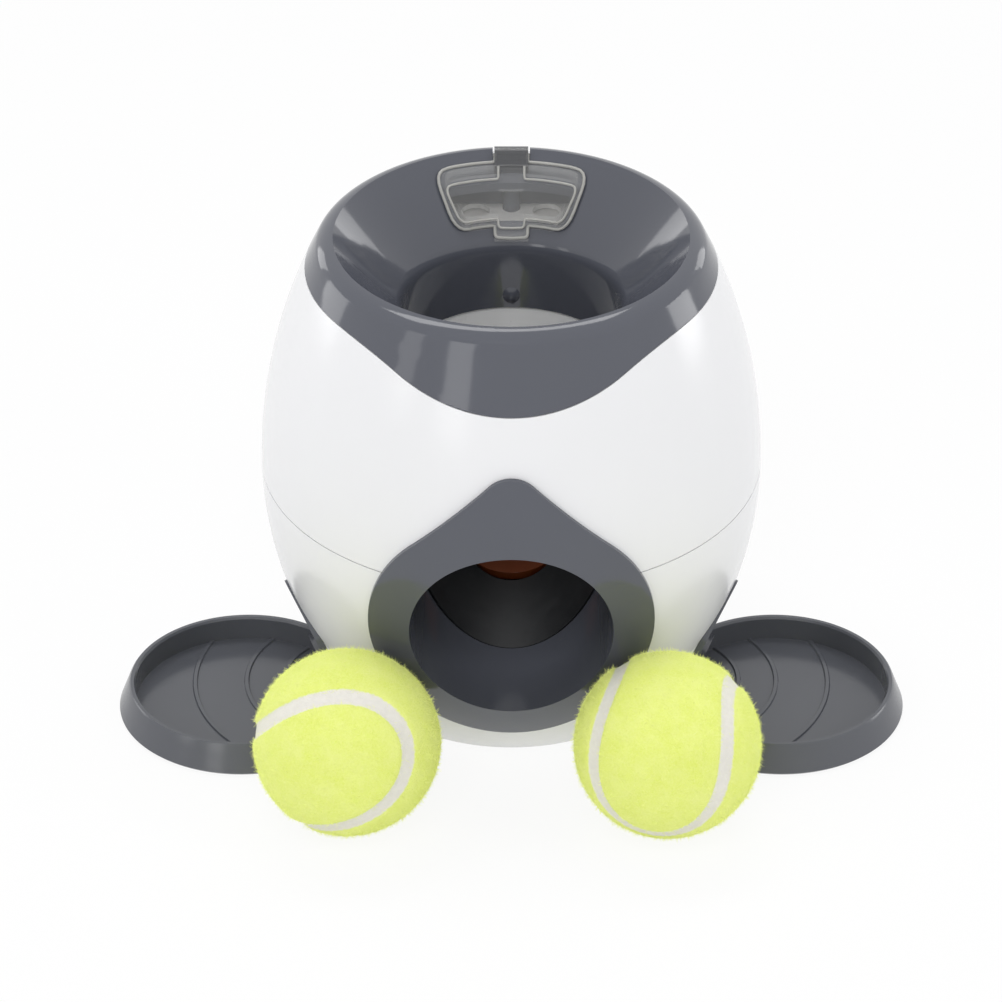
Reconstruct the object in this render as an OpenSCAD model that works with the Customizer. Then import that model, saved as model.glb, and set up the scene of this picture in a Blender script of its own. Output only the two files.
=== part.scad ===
// Ball-fetch treat machine: egg body with funnel, exit frame, two treat trays and two tennis balls.
// Millimetres. Origin on the floor under the body axis, the ball exit faces -Y, +Z is up.

/* [Body] */
// Greatest outside radius of the egg
body_r = 88.2; // [80:0.1:100]
// Height of the widest point, where the shells part
body_z = 87; // [80:0.5:95]
// Side curve radius below the widest point
low_arc = 135.6; // [125:0.1:160]
// Side curve radius above the widest point
top_arc = 190; // [165:1:220]
// Shell wall
wall = 2.5; // [1.8:0.1:3.2]
// Open line between the two shells
seam_gap = 0.4; // [0.2:0.1:0.8]
// Seat gap between pieces of the housing
seat = 0.3; // [0.2:0.05:0.5]
// Locating ring at the seam, reach below it
ring_h = 6; // [4:0.5:8]
// Locating ring wall
ring_t = 1.8; // [1.4:0.1:2.2]
// Ledge that carries the locating ring
ledge_t = 4; // [3:0.5:5]
// Neck behind the collar, reach below the collar edge's lowest point
neck_low = 10; // [8:0.5:12]
// Neck behind the collar, reach above that point
neck_up = 8; // [6:0.5:9]
// Neck wall
neck_t = 2; // [1.6:0.1:2.4]

/* [Funnel] */
// Rounding of the rim
rim_round = 8.2; // [6:0.1:9.5]
// Height of the rim rounding's centre
rim_z = 168.1; // [165:0.1:174]
// Throat radius
throat_r = 38; // [36:0.1:40]
// Throat edge, down from the centre of the rim rounding
throat_z = 18.1; // [15:0.1:22]
// Lower end of the throat tube, down from the same centre
tube_low = 43.1; // [38:0.1:50]
// Wall of the bowl and the throat tube
bowl_t = 2.2; // [1.6:0.1:2.6]
// Wall of the collar skirt
skirt_t = 2.2; // [1.6:0.1:2.4]
// Rounding between bowl and throat
throat_round = 8; // [4:0.5:10]
// Lowest point of the collar edge, at the front and the back, down from the same centre
dip_z = 18.1; // [14:0.1:22]
// Collar edge at the sides, down from the same centre
edge_z = 3.4; // [2:0.1:6]
// Half span of the dip
dip_span = 62; // [54:0.5:66]
// Where the dip curve turns from hollow to round
dip_turn = 39; // [30:0.5:44]
// Button radius on the rear throat wall
button_r = 4; // [3:0.1:5]

/* [Treat hopper and lid] */
// Lid thickness
lid_t = 1.8; // [1.4:0.1:2.4]
// Lid lower edge, out from the throat
lid_in = 4.2; // [3.5:0.1:5.5]
// Lid upper edge, in from the lip of the rim
lid_out = 6.3; // [5:0.1:7.5]
// Lid half width at its lower corners
lid_low_w = 16.2; // [14:0.1:18]
// Lid half width at its upper corners
lid_top_w = 25.4; // [22:0.1:27]
// Corner rounding of the lid
lid_round = 3; // [1:0.1:4]
// Border of the lid around the pocket opening
lid_border = 2; // [1.4:0.1:3]
// Raised panel on the lid
panel_t = 0.7; // [0.4:0.1:1]
// Width of the raised bead round the lid
bead_w = 1.3; // [1:0.1:1.8]
// Half width of the notch in the panel under the hinge
notch_w = 4.4; // [3:0.1:5]
// Depth of that notch
notch_d = 4; // [2:0.1:5]
// Half width of the lid's finger and hinge tabs
tab_w = 6; // [4:0.1:8]
// Gap between the flat tabs and the bowl, at the middle
tab_gap = 0.5; // [0.4:0.05:0.7]
// Rise of the flat tabs over the lid, at the middle
tab_rise = 0.45; // [0.4:0.05:0.6]
// Gap between the curved lid and the bowl
lid_gap = 0.2; // [0.15:0.05:0.3]
// Hinge pin radius
lid_pin_r = 0.9; // [0.7:0.05:1.1]
// Hinge knuckle radius
knuckle_r = 2.6; // [2.2:0.1:2.8]
// Running clearance of a pin in its moving part
run = 0.06; // [0.03:0.01:0.1]
// Hopper floor's upper face, down from the centre of the rim rounding
hop_z = 16.1; // [15.1:0.1:16.6]
// Hopper half width inside
hop_w = 22; // [20:0.5:24]
// Hopper wall
hop_t = 1.6; // [1.2:0.1:2]
// Hopper floor thickness
hop_floor_t = 2; // [1.6:0.1:2.4]
// Drop hole radius
drop_r = 5; // [4:0.1:5.4]
// Drop hole distance from the middle plane
drop_x = 12.6; // [11.5:0.1:13]
// Hopper post radius
post_r = 3.2; // [2.6:0.1:3.8]
// Side screws of the hopper floor, distance from the middle plane
hop_screw_x = 26.8; // [26.5:0.1:28]
// Length of those screws under the head
hop_screw_l = 8; // [6:0.5:8.5]

/* [Front frame] */
// Exit hole radius
exit_r = 35.2; // [34:0.1:36]
// Height of the exit axis
exit_z = 65.7; // [63:0.1:70]
// Frame radius around the exit
frame_r = 49.5; // [46:0.1:52]
// Tip height above the exit axis
frame_tip = 64.1; // [58:0.1:68]
// Tip rounding
tip_round = 11; // [6:0.5:14]
// Frame thickness on the body
frame_t = 1.6; // [1.2:0.1:2.2]
// Tunnel wall
tunnel_t = 2.3; // [1.8:0.1:2.6]

/* [Treat outlets] */
// Direction of the outlets, from the front
side_az = 73; // [68:0.5:78]
// Lean of the outlet plates
side_tilt = 22.3; // [19:0.1:25]
// Height of the plate tip
side_tip_z = 48.7; // [45:0.1:52]
// Plate tip outside the egg
side_proud = 0.9; // [0.6:0.1:1.6]
// Outlet plate thickness
side_t = 2.4; // [2:0.1:3]
// Plate radius around the outlet
side_r = 21.6; // [20:0.1:22.4]
// Outlet hole radius
outlet_r = 15; // [13:0.1:16]
// Tip height above the outlet centre
side_tip = 28; // [27:0.1:30]
// Tip rounding of the plate
side_tip_round = 4.8; // [3:0.1:6]
// Depth of the shell boss behind the plate
boss_d = 12; // [10:0.5:14]

/* [Trays] */
// Tray centre from the foot of the outlet plate
tray_off = 35.8; // [33:0.1:40]
// Outside radius at the rim
tray_rim = 41.4; // [39:0.1:43]
// Outside radius at the floor
tray_foot = 44.9; // [44:0.1:47]
// Tray height
tray_h = 11; // [9.5:0.1:11]
// Tray wall at the rim
tray_t = 2.4; // [1.8:0.1:3]
// Tray floor thickness
tray_floor = 1.8; // [1.4:0.1:2.4]
// Rib height on the tray floor
rib_h = 0.7; // [0.4:0.1:1]
// Rib width
rib_w = 2.4; // [1.6:0.1:3]
// Centre of the rib curves from the body axis
rib_c = 55.5; // [52:0.5:58]
// First rib radius
rib_1 = 28.5; // [27:0.5:30]
// Second rib radius
rib_2 = 42; // [40:0.5:44]
// Third rib radius
rib_3 = 60.5; // [58:0.5:63]

/* [Ball path and trigger] */
// Chamber inside radius
well_r = 39; // [38.6:0.1:39.4]
// Chamber wall
well_t = 2.2; // [1.8:0.1:2.4]
// Ramp fall towards the exit, degrees
ramp_fall = 6; // [4:0.5:7]
// Ramp wall
ramp_t = 2.4; // [1.8:0.1:2.6]
// Treadle disc radius
disc_r = 16; // [14:0.1:16.6]
// Treadle disc centre behind the body axis
disc_y = 16; // [14:0.5:18]
// Treadle disc thickness
disc_t = 3; // [2.4:0.1:3.4]
// Rise of the disc over the ramp floor at rest
disc_up = 2; // [1.5:0.1:3]
// Clearance round the disc
disc_gap = 1.2; // [1:0.1:1.6]
// Lever axis height
lever_z = 32; // [31:0.1:33]
// Lever axis behind the throat
lever_back = 24; // [23.5:0.1:25]
// Lever bar half width
bar_w = 4; // [3:0.1:4.4]
// Lever bar depth
bar_h = 5; // [4:0.1:5.4]
// Lever hub radius
hub_r = 4.5; // [4:0.1:5]
// Axle radius
axle_r = 1.5; // [1.2:0.05:1.8]
// Gate half width
gate_w = 20; // [18.5:0.1:21]
// Gate length front to back
gate_l = 12; // [11.4:0.1:12.4]
// Gate thickness
gate_t = 2.3; // [1.6:0.1:2.6]
// Gap between gate and hopper floor
gate_gap = 0.7; // [0.5:0.1:1]
// Cradle cheek thickness
cheek_t = 3; // [2.4:0.1:3.6]
// Spring wire radius
wire_r = 0.5; // [0.4:0.05:0.6]
// Treat slide thickness
slide_t = 2; // [1.6:0.1:2.4]

/* [Base] */
// Base plate thickness
base_t = 2.4; // [2:0.1:3]
// Foot pad radius
pad_r = 5; // [4:0.1:6]
// Foot pad depth
pad_t = 1.2; // [0.8:0.1:1.4]
// Foot pad centres, in from the edge of the base plate
pad_in = 18; // [14:0.5:22]
// Screw shank radius
screw_r = 1.5; // [1.2:0.05:1.6]
// Screw head radius
head_r = 2.6; // [2.2:0.1:2.8]
// Screw head depth
head_t = 1.5; // [1.2:0.1:1.7]
// Length of the base screws
base_screw_l = 10; // [8:0.5:11]
// Radius of the screw posts in the lower shell
post_or = 4; // [3.4:0.1:4.6]
// Gusset wall between post and shell
gusset_t = 3; // [2:0.1:3.4]

/* [Balls] */
// Tennis ball radius
ball_r = 32.5; // [31:0.1:33.5]
// Felt thickness
felt_t = 3; // [2.4:0.1:3.4]
// Rubber core wall
core_t = 3.4; // [3:0.1:4]
// Free space between ball and front frame
ball_gap = 0.8; // [0.5:0.1:5]
// Direction of the left ball from the front
left_az = 29.6; // [27:0.1:34]
// Direction of the right ball from the front
right_az = 28; // [27:0.1:34]

/* [Hidden] */
$fn = 128;
fit = 0.01;
low_c = body_r - low_arc;
throat_top = rim_z - throat_z;
tube_end = rim_z - tube_low;
dip_low = rim_z - dip_z;
edge_side = rim_z - edge_z;
hop_top = rim_z - hop_z;
top_c = body_r - top_arc;
rim_c = top_c + sqrt(pow(top_arc - rim_round, 2) - pow(rim_z - body_z, 2));
lip_z = rim_z + sqrt(rim_round * rim_round - 0.64);
lip_r = rim_c + 0.8;
bowl_a = atan2(lip_z - throat_top, lip_r - throat_r);
tube_r = throat_r + bowl_t;
lid_low_r = throat_r + lid_in;
lid_top_r = lip_r - lid_out;
ring_r = body_at(body_z - ring_h, wall) - seat;
lever_y = throat_r + lever_back;
hop_back = lever_y + 3;
hop_front = throat_r + 4;
drop_y = lever_y - 1.8;
hop_under = hop_top - hop_floor_t;
gate_r = hop_under - gate_gap - lever_z;
hinge_y = lip_r + 0.5;
hinge_z = lip_z - 2.3;
tunnel_r = exit_r + tunnel_t;
well_or = well_r + well_t;
side_foot = body_at(side_tip_z, 0) + side_proud - side_tip_z * tan(side_tilt);
side_mid = side_tip_z / cos(side_tilt) - side_tip;
tray_c = side_foot + tray_off;
base_r = body_at(0, wall) - 0.4;
floor_z = base_t + 0.2;
bar_top = lever_z + bar_h / 2;
cheek_x = bar_w + 5.5;
screw_ring = base_r - 5;
post_h = base_screw_l + 1;
ball_d = low_c + sqrt(pow(low_arc + frame_t + seat + ball_gap + ball_r, 2) - pow(body_z - ball_r, 2));

function body_at(z, inset) = z < body_z
  ? low_c + sqrt(pow(low_arc - inset, 2) - pow(z - body_z, 2))
  : top_c + sqrt(pow(top_arc - inset, 2) - pow(z - body_z, 2));

// Half section of the egg, drawn in by inset
module body_2d(inset) {
  intersection() {
    translate([low_c, body_z]) circle(low_arc - inset);
    translate([0, -1]) square([body_r + 20, body_z + 1]);
  }
  intersection() {
    translate([top_c, body_z]) circle(top_arc - inset);
    translate([0, body_z]) square([body_r + 20, lip_z - body_z + 4]);
  }
}

module egg(inset) {
  rotate_extrude() body_2d(inset);
}

// Half section under the rim rounding, drawn in by inset
module cap_2d(inset) {
  k = rim_round - inset;
  lean = (rim_z - body_z) / (top_arc - rim_round);
  intersection() {
    body_2d(inset);
    union() {
      square([body_r + 20, rim_z + k * lean]);
      translate([rim_c, rim_z]) circle(k + 0.03);
      square([rim_c, rim_z + k]);
    }
  }
}

// Point of the bowl line: e along the slope from the throat, h square to it
function slope(e, h) = [throat_r + e * cos(bowl_a) - h * sin(bowl_a),
  throat_top + e * sin(bowl_a) + h * cos(bowl_a)];

// Open space of bowl and throat, with the rounded edge between them
module bowl_void_2d() {
  l = throat_round * tan((90 - bowl_a) / 2);
  polygon([[0, tube_end - 1], [throat_r, tube_end - 1], [throat_r, throat_top], slope(60, 0),
    [0, slope(60, 0)[1]]]);
  difference() {
    polygon([[throat_r - 1, throat_top - l], [throat_r, throat_top - l], slope(l, 0),
      [throat_r - 1, slope(l, 0)[1]]]);
    translate([throat_r + throat_round, throat_top - l]) circle(throat_round);
  }
}

// Everything inside the lower face of the bowl and the outer face of the tube
module bowl_thick_2d() {
  p = slope(0, -bowl_t);
  z = p[1] + (tube_r - p[0]) * tan(bowl_a);
  polygon([[0, tube_end], [tube_r, tube_end], [tube_r, z], slope(60, -bowl_t), [0, slope(60, 0)[1]]]);
}

// Area below the collar's wavy edge, in the front view
module below_edge_2d(drop) {
  rise = edge_side - dip_low;
  both = (pow(dip_span, 2) + pow(rise, 2)) / (2 * rise);
  r1 = both * dip_turn / dip_span;
  r2 = both - r1;
  z1 = dip_low + r1 - sqrt(r1 * r1 - dip_turn * dip_turn);
  for (s = [0, 1]) mirror([s, 0]) translate([0, -drop]) {
    translate([dip_span, 60]) square([60, edge_side - 60]);
    intersection() {
      translate([dip_span, edge_side - r2]) circle(r2);
      translate([dip_turn, z1 - 1]) square([dip_span - dip_turn, edge_side]);
    }
    translate([dip_turn, 60]) square([dip_span - dip_turn, z1 - 60]);
    difference() {
      translate([0, 60]) square([dip_turn, z1 - 60]);
      translate([0, dip_low + r1]) circle(r1);
    }
  }
}

module below_edge(drop) {
  rotate([90, 0, 0]) linear_extrude(height = 260, center = true) below_edge_2d(drop);
}

// Drop shape: round part of radius r1 at height c, tip of radius r2 that ends at height t
module drop_2d(r1, c, r2, t) {
  a = asin((r1 - r2) / (t - r2 - c));
  p1 = (r1 - 0.02) * [cos(a), sin(a)];
  p2 = (r2 - 0.02) * [cos(a), sin(a)];
  translate([0, c]) circle(r1);
  translate([0, t - r2]) circle(r2);
  polygon([[p1[0], c + p1[1]], [p2[0], t - r2 + p2[1]], [-p2[0], t - r2 + p2[1]], [-p1[0], c + p1[1]]]);
}

module to_front(len) {
  rotate([90, 0, 0]) linear_extrude(height = len) children();
}

module exit_bore(r) {
  translate([0, 0, exit_z]) rotate([90, 0, 0]) cylinder(h = body_r + 20, r = r);
}

module ramp_pipe(r) {
  translate([0, -well_or, exit_z]) rotate([ramp_fall, 0, 0]) translate([0, 130, 0]) rotate([90, 0, 0])
    cylinder(h = 180, r = r);
}

// Turn so that +X leaves the body through the right or left outlet
module at_right() {
  rotate([0, 0, side_az - 90]) children();
}

module at_left() {
  mirror([1, 0, 0]) at_right() children();
}

// Outlet plate frame: drawing in the plate's plane, pushed out along its outward normal
module on_plate(from, to) {
  translate([side_foot, 0, 0]) rotate([0, side_tilt, 0]) translate([from, 0, 0]) rotate([90, 0, 90])
    linear_extrude(height = to - from) children();
}

module plate_2d(grow) {
  drop_2d(side_r + grow, side_mid, side_tip_round + grow, side_mid + side_tip + grow);
}

module outlet_2d(r) {
  translate([0, side_mid]) circle(r);
}

module screw(len) {
  cylinder(h = head_t, r = head_r);
  cylinder(h = len, r = screw_r);
}

module screw_places() {
  for (a = [45, 135, 225, 315]) rotate([0, 0, a]) translate([screw_ring, 0, 0]) children();
}

// Boss of the lower shell behind an outlet plate
module shell_boss() {
  intersection() {
    on_plate(-side_t - boss_d, 0) plate_2d(0);
    translate([0, -60, 0.3]) cube([160, 120, 120]);
  }
}

// White lower half with the two outlet bosses and the screw posts
module lower_shell() {
  color([0.94, 0.94, 0.95]) difference() {
    union() {
      difference() {
        egg(0);
        egg(wall);
        translate([-120, -120, body_z - seam_gap / 2]) cube([240, 240, 200]);
        translate([-120, -120, -2]) cube([240, 240, 2.3]);
      }
      at_right() shell_boss();
      at_left() shell_boss();
      intersection() {
        egg(wall / 2);
        screw_places() union() {
          translate([0, 0, floor_z]) cylinder(h = post_h, r = post_or);
          translate([0, -gusset_t / 2, floor_z + 1.5]) cube([body_r - screw_ring, gusset_t, post_h - 1.5]);
        }
      }
    }
    exit_bore(tunnel_r + seat);
    at_right() on_plate(-40, 1) outlet_2d(outlet_r + 1);
    at_left() on_plate(-40, 1) outlet_2d(outlet_r + 1);
    at_right() on_plate(-side_t, 20) plate_2d(seat);
    at_left() on_plate(-side_t, 20) plate_2d(seat);
    screw_places() translate([0, 0, -1]) cylinder(h = base_screw_l + 2, r = screw_r + fit);
  }
}

// White upper half with an inset neck behind the collar and a locating ring at the seam
module upper_shell() {
  color([0.94, 0.94, 0.95]) difference() {
    union() {
      intersection() {
        rotate_extrude() difference() {
          body_2d(0);
          body_2d(wall);
          square([120, body_z + seam_gap / 2]);
        }
        below_edge(seat);
      }
      rotate_extrude() intersection() {
        difference() {
          body_2d(wall - 0.1);
          body_2d(wall + neck_t);
        }
        translate([0, dip_low - neck_low]) square([body_r, neck_low + neck_up]);
      }
      rotate_extrude() translate([ring_r - ring_t, body_z - ring_h]) square([ring_t, ring_h + 2]);
      rotate_extrude() intersection() {
        body_2d(wall / 2);
        translate([ring_r - ring_t, body_z + seam_gap / 2]) square([body_r, ledge_t]);
      }
    }
    exit_bore(tunnel_r + seat);
  }
}

// Lid and pocket outlines seen from above
module sector_2d(inner, outer, low_w, top_w) {
  y1 = sqrt(inner * inner - low_w * low_w);
  y2 = sqrt(outer * outer - top_w * top_w);
  k = (top_w - low_w) / (y2 - y1);
  y3 = inner - 12;
  y4 = outer + 6;
  intersection() {
    difference() {
      circle(outer);
      circle(inner);
    }
    polygon([[low_w + k * (y3 - y1), y3], [top_w + k * (y4 - y2), y4], [-top_w - k * (y4 - y2), y4],
      [-low_w - k * (y3 - y1), y3]]);
  }
}

module lid_2d() {
  offset(r = lid_round) offset(delta = -lid_round) sector_2d(lid_low_r, lid_top_r, lid_low_w, lid_top_w);
}

module pocket_2d(grow) {
  b = lid_border - grow;
  sector_2d(lid_low_r + b, lid_top_r - b, lid_low_w + 1 - b / 2, lid_top_w - b);
}

// Raised panel: the pocket's outline with a notch at the hinge and a tongue at the finger tab
module panel_2d() {
  difference() {
    pocket_2d(-0.2);
    translate([-notch_w, lid_top_r - lid_border - notch_d]) square([2 * notch_w, 20]);
  }
  translate([-tab_w + 1.6, lid_low_r - 0.6]) square([2 * tab_w - 3.2, 4]);
}

module hopper_box(grow, z) {
  translate([-hop_w - grow, hop_front - grow - 2, z])
    cube([2 * hop_w + 2 * grow, hop_back - hop_front + 2 + 2 * grow, 60]);
}

module hop_screw_places() {
  for (s = [-1, 1]) translate([s * hop_screw_x, drop_y - 6, 0]) children();
}

// Room for the lid's hinge knuckle in the rim
module hinge_notch() {
  translate([-tab_w - 0.6, hinge_y - 3.2, hinge_z - 3.2]) cube([2 * tab_w + 1.2, 20, 30]);
}

// Collar skirt, bowl and throat tube, with the wavy lower edge
module bowl_part() {
  difference() {
    union() {
      rotate_extrude() difference() {
        cap_2d(0);
        bowl_void_2d();
        difference() {
          union() {
            cap_2d(skirt_t);
            square([120, dip_low - 4]);
          }
          bowl_thick_2d();
        }
      }
      translate([0, throat_r + 2.4, tube_end + 5]) sphere(button_r);
    }
    difference() {
      below_edge(0);
      egg(skirt_t + 1);
    }
    linear_extrude(height = 200) pocket_2d(0);
    hinge_notch();
    translate([0, throat_r - 1, throat_top + 5.5]) sphere(5.4);
  }
}

// Hopper walls under the bowl, with the middle post, screw bosses and hinge cheeks
module hopper_part() {
  difference() {
    intersection() {
      rotate_extrude() difference() {
        cap_2d(skirt_t - 0.2);
        translate([0, -0.4]) bowl_void_2d();
        square([tube_r + 0.4, 200]);
        square([120, hop_top]);
        difference() {
          square([body_r, dip_low + neck_up + seat]);
          body_2d(wall + neck_t + seat);
        }
      }
      union() {
        difference() {
          hopper_box(hop_t, hop_top);
          hopper_box(0, hop_top - 1);
        }
        translate([0, lever_y, hop_top]) cylinder(h = 40, r = post_r);
        hop_screw_places() translate([0, 0, hop_top]) cylinder(h = 40, r = 3);
        for (s = [-1, 1]) translate([s * (tab_w + 2.6) - 1.8, hinge_y - 3.5, hinge_z - 4])
          cube([3.6, 12, 20]);
      }
    }
    linear_extrude(height = 200) pocket_2d(0);
    hinge_notch();
    hop_screw_places() translate([0, 0, hop_top - 1]) cylinder(h = hop_screw_l + 1, r = screw_r + fit);
    translate([-12, hinge_y, hinge_z]) rotate([0, 90, 0]) cylinder(h = 24, r = lid_pin_r + fit);
  }
}

// Grey collar, bowl, throat tube and hopper walls in one moulding
module collar_funnel() {
  color([0.41, 0.42, 0.44]) difference() {
    union() {
      bowl_part();
      hopper_part();
    }
    translate([-12, hinge_y, hinge_z]) rotate([0, 90, 0]) cylinder(h = 24, r = lid_pin_r + fit);
  }
}

// Light grey hopper floor with the two drop holes
module hopper_floor() {
  color([0.62, 0.63, 0.65]) difference() {
    intersection() {
      translate([-hop_screw_x - 4, hop_front - 2, hop_under])
        cube([2 * hop_screw_x + 8, hop_back - hop_front + 4, hop_floor_t - 0.05]);
      cylinder(h = 200, r = body_at(hop_top, wall + neck_t) - 1);
    }
    cylinder(h = 200, r = tube_r + 3);
    for (s = [-1, 1]) translate([s * drop_x, drop_y, 0]) cylinder(h = 200, r = drop_r);
    translate([-2.3, hop_front + 6.5, 0]) cube([4.6, 1.2, 200]);
    hop_screw_places() cylinder(h = 200, r = screw_r + 0.1);
  }
}

module hopper_screws() {
  color([0.7, 0.7, 0.72]) hop_screw_places() translate([0, 0, hop_under - head_t])
    screw(head_t + hop_screw_l);
}

// Band along the bowl slope, between two heights over it
module band_2d(h1, h2) {
  polygon([slope(-4, h1), slope(48, h1), slope(48, h2), slope(-4, h2)]);
}

// Clear lid on the rear of the bowl, hinged at the rim
module treat_lid() {
  edge_e = (lid_top_r - lid_border - throat_r) / cos(bowl_a);
  hinge_e = (hinge_y - throat_r) * cos(bowl_a) + (hinge_z - throat_top) * sin(bowl_a);
  top_h = lid_gap + lid_t;
  tab_h = top_h + tab_rise;
  color([0.75, 0.77, 0.8, 0.5]) difference() {
    union() {
      intersection() {
        rotate_extrude() band_2d(lid_gap, top_h);
        linear_extrude(height = 200) lid_2d();
      }
      intersection() {
        rotate_extrude() band_2d(lid_t, top_h + panel_t);
        linear_extrude(height = 200) panel_2d();
      }
      intersection() {
        rotate_extrude() band_2d(lid_t, top_h + panel_t);
        linear_extrude(height = 200) difference() {
          lid_2d();
          offset(delta = -bead_w) lid_2d();
        }
      }
      for (e = [[1.4, 2 * lid_in], [edge_e, hinge_e]]) rotate([90, 0, 90]) translate([0, 0, -tab_w])
        linear_extrude(height = 2 * tab_w)
          polygon([slope(e[0], tab_gap), slope(e[1], tab_gap), slope(e[1], tab_h), slope(e[0], tab_h)]);
      translate([-tab_w, hinge_y, hinge_z]) rotate([0, 90, 0]) cylinder(h = 2 * tab_w, r = knuckle_r);
    }
    translate([-20, hinge_y, hinge_z]) rotate([0, 90, 0]) cylinder(h = 40, r = lid_pin_r + run);
  }
}

module lid_pin() {
  color([0.7, 0.7, 0.72]) translate([-tab_w - 3.6, hinge_y, hinge_z]) rotate([0, 90, 0])
    cylinder(h = 2 * tab_w + 7.2, r = lid_pin_r);
}

// Grey drop-shaped frame on the body, with the tunnel the ball leaves by
module front_frame() {
  color([0.41, 0.42, 0.44]) difference() {
    union() {
      intersection() {
        rotate_extrude() difference() {
          body_2d(-seat - frame_t);
          body_2d(-seat);
        }
        to_front(body_r + 40) drop_2d(frame_r, exit_z, tip_round, exit_z + frame_tip);
      }
      intersection() {
        exit_bore(tunnel_r);
        egg(-seat - frame_t / 2);
      }
    }
    exit_bore(exit_r);
    cylinder(h = 200, r = well_r);
  }
}

module outlet_frame() {
  color([0.41, 0.42, 0.44]) intersection() {
    on_plate(-side_t + seat / 2, 0) difference() {
      plate_2d(0);
      outlet_2d(outlet_r);
    }
    translate([0, -60, 0.3]) cube([160, 120, 120]);
  }
}

module right_outlet_frame() {
  at_right() outlet_frame();
}

module left_outlet_frame() {
  at_left() outlet_frame();
}

// White tube under the throat, open to the tunnel
module ball_chamber() {
  color([0.92, 0.92, 0.93]) difference() {
    translate([0, 0, floor_z]) cylinder(h = tube_end - seat - floor_z, r = well_or);
    cylinder(h = 200, r = well_r);
    exit_bore(tunnel_r + seat);
    translate([-bar_w - 1, 20, lever_z - 9]) cube([2 * bar_w + 2, 40, 13]);
  }
}

// Grey half pipe that leads the ball to the exit
module ramp_body() {
  intersection() {
    difference() {
      ramp_pipe(exit_r + ramp_t);
      translate([-60, -100, exit_z - 3]) cube([120, 200, 120]);
    }
    cylinder(h = 120, r = well_r - seat);
  }
  translate([0, 0, exit_z - 6]) cylinder(h = 3, r = well_r - seat);
  for (x = [-24, 24]) for (y = [-18, 18]) translate([x, y, floor_z])
    cylinder(h = exit_z - 10 - floor_z, r = 3.5);
}

module ball_ramp() {
  color([0.35, 0.36, 0.38]) difference() {
    ramp_body();
    ramp_pipe(exit_r);
    translate([0, disc_y, exit_z - exit_r - 10]) cylinder(h = 24, r = disc_r + disc_gap);
  }
}

// White sloped floor behind and beside the chamber; its ridge sends treats left and right
module slide_half() {
  x = body_at(9, wall) - 2;
  y = -18.5;
  top = lever_y + 4;
  run_l = sqrt(x * x + pow(top - y, 2));
  fall = atan2(hop_under - 15 - 9, run_l);
  intersection() {
    translate([x, y, 9]) rotate([0, 0, atan2(y - top, x)]) rotate([0, fall, 0])
      translate([-3 * body_r, -2 * body_r, -slide_t]) cube([4 * body_r, 4 * body_r, slide_t]);
    translate([-0.5, -120, floor_z + 1]) cube([120, 240, 160]);
  }
}

module treat_slide() {
  color([0.92, 0.92, 0.93]) difference() {
    intersection() {
      union() {
        slide_half();
        mirror([1, 0, 0]) slide_half();
      }
      egg(wall + seat);
    }
    cylinder(h = 200, r = well_or + seat);
    translate([-bar_w - 2, well_or + 8, 0]) cube([2 * bar_w + 4, 80, 200]);
    at_right() on_plate(-side_t - boss_d - seat, 0) plate_2d(seat);
    at_left() on_plate(-side_t - boss_d - seat, 0) plate_2d(seat);
    screw_places() union() {
      cylinder(h = floor_z + post_h + seat, r = post_or + seat);
      translate([0, -gusset_t / 2 - seat, 0])
        cube([body_r - screw_ring + 2, gusset_t + 2 * seat, floor_z + post_h + seat]);
    }
    translate([0, 0, dip_low - neck_low - 0.5]) cylinder(h = 60, r = body_r);
    translate([0, 0, body_z - ring_h - 1]) difference() {
      cylinder(h = ring_h + ledge_t + 2, r = body_r);
      translate([0, 0, -1]) cylinder(h = ring_h + ledge_t + 4, r = ring_r - ring_t - 0.5);
    }
  }
}

// Bracket on the base plate that carries the lever axle
module axle_cradle() {
  y1 = well_or + 1.8;
  y2 = base_r - 2.6;
  color([0.92, 0.92, 0.93]) difference() {
    union() {
      translate([-cheek_x - cheek_t, y1, floor_z]) cube([2 * cheek_x + 2 * cheek_t, y2 - y1 - 1.2, 2.6]);
      for (s = [0, 1]) mirror([s, 0, 0]) translate([cheek_x, 0, 0]) rotate([90, 0, 90])
        linear_extrude(height = cheek_t) {
          polygon([[y1, floor_z], [y2 - 1.2, floor_z], [lever_y + 3.5, lever_z - 8], [lever_y + 4, lever_z],
            [lever_y - 4, lever_z + 2], [y1, 14]]);
          translate([lever_y, lever_z]) circle(4);
        }
    }
    translate([-30, lever_y, lever_z]) rotate([0, 90, 0]) cylinder(h = 60, r = axle_r + fit);
    for (s = [-1, 1]) translate([s * 5, (y1 + y2) / 2 - 0.6, 0]) cylinder(h = 20, r = screw_r + 0.1);
  }
}

module cradle_screws() {
  y = (well_or + 1.8 + base_r - 2.6) / 2 - 0.6;
  color([0.7, 0.7, 0.72]) for (s = [-1, 1]) translate([s * 5, y, floor_z + 2.6 + head_t]) mirror([0, 0, 1])
    screw(head_t + 3.6);
}

module lever_axle() {
  color([0.7, 0.7, 0.72]) translate([-cheek_x - cheek_t, lever_y, lever_z]) rotate([0, 90, 0])
    cylinder(h = 2 * cheek_x + 2 * cheek_t, r = axle_r);
}

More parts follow.
